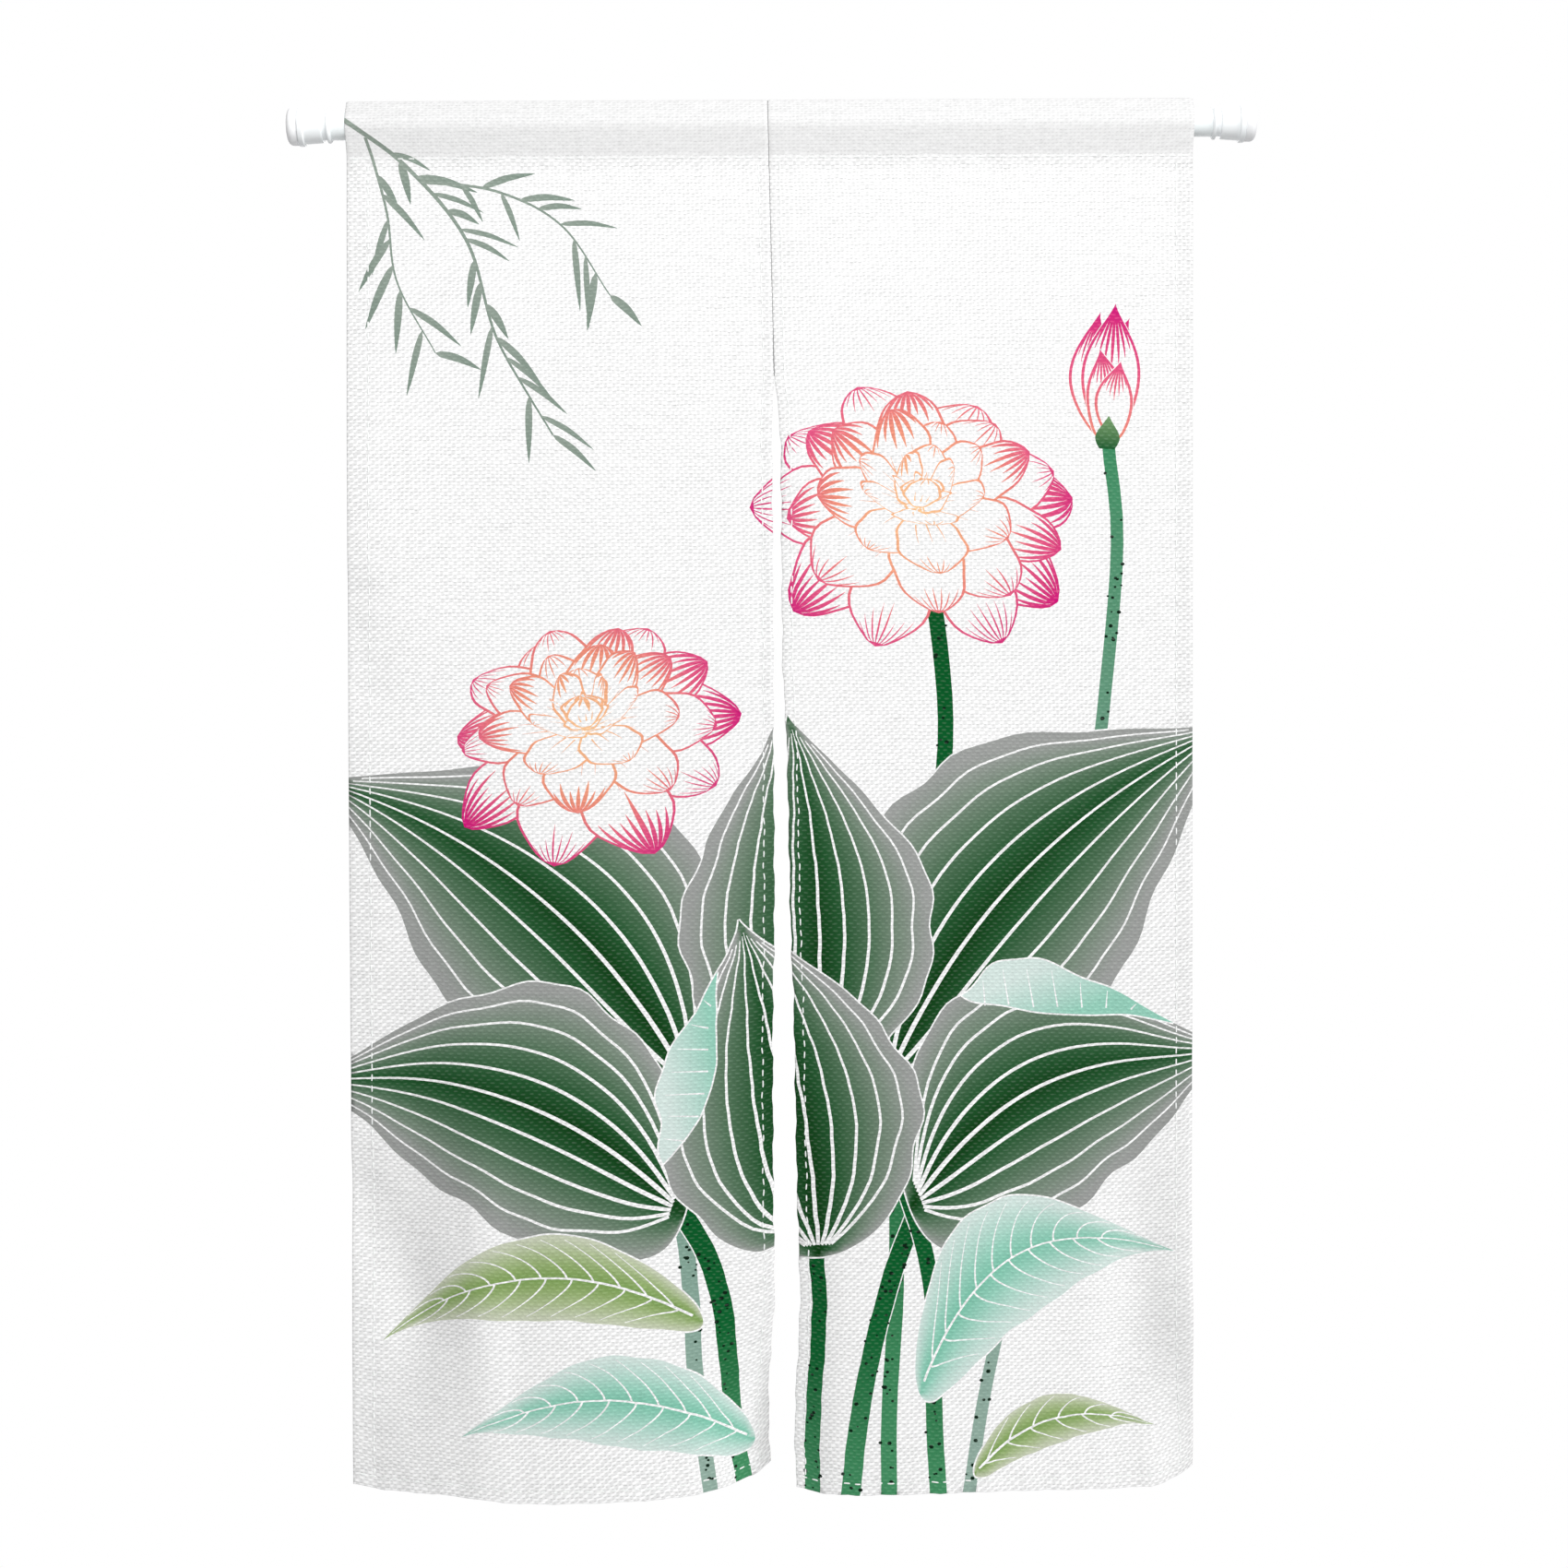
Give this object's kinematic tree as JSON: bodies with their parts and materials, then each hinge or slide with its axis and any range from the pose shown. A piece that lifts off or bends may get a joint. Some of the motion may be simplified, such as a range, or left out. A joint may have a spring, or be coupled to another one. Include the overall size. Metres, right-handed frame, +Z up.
{
  "type": "noren curtain with tension rod",
  "caption": "Doorway noren curtain: cloth panels with a rod pocket and a part-open centre slit, hanging from a tension rod with turned end caps and soft pads.",
  "frame": {"origin": "the middle of the rod, on its axis", "axes": "+X along the rod to the viewer's right, -Y towards the viewer, +Z up"},
  "size_m": [0.9718, 0.0589, 1.4049],
  "materials": {
    "cloth": "matte coarse plain weave, white with printed flowers and leaves",
    "rod": "smooth white paint",
    "cap": "smooth moulded, slightly glossy",
    "pad": "soft matte, rounded shoulder"
  },
  "bodies": {
    "root": {"panel_left": "cloth", "panel_right": "cloth", "rod_tube": "rod", "collar_left": "cap", "collar_right": "cap", "end_cap_left": "cap", "end_cap_right": "cap", "end_pad_left": "pad", "end_pad_right": "pad"}
  },
  "joints": []
}
